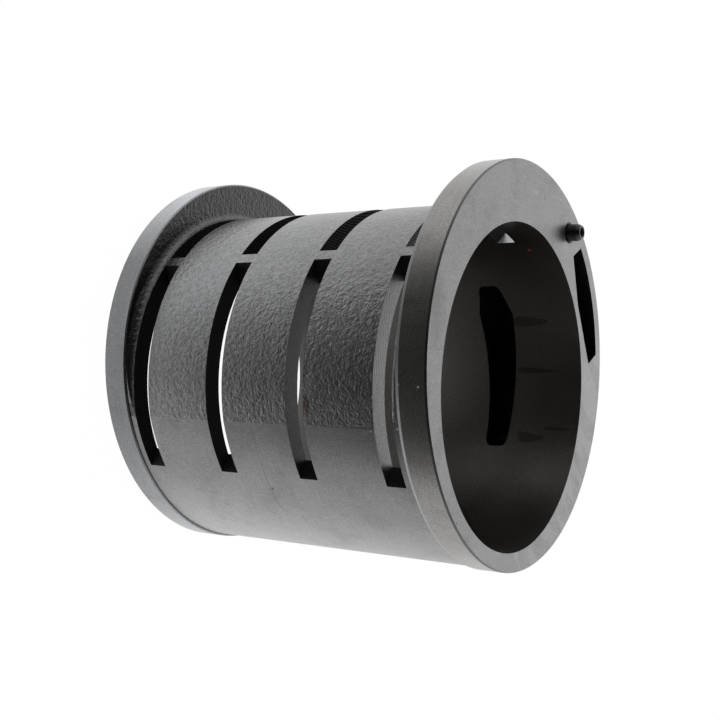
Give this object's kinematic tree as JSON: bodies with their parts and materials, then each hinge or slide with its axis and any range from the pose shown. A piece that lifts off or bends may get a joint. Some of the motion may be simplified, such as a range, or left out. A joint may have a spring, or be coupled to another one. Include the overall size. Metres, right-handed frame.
{
  "type": "flanged air motor cylinder",
  "caption": "Flanged cast cylinder with an eccentric bore, milled exhaust slots in its barrel, an inlet chest with a window through one flange, and a dowel pin.",
  "frame": {"origin": "on the flange axis, in the far end face that the part stands on", "axes": "+Z along the flange axis towards the near flange with the dowel; the exhaust slots face -Y and -X, the inlet chest faces +Y"},
  "size_m": [0.18, 0.18, 0.1737],
  "materials": {
    "casting": "ground faces, honed bore, turned and as-cast barrel",
    "dowel": "black oxide"
  },
  "bodies": {
    "root": {"cylinder": "casting", "dowel_pin": "dowel"}
  },
  "joints": []
}
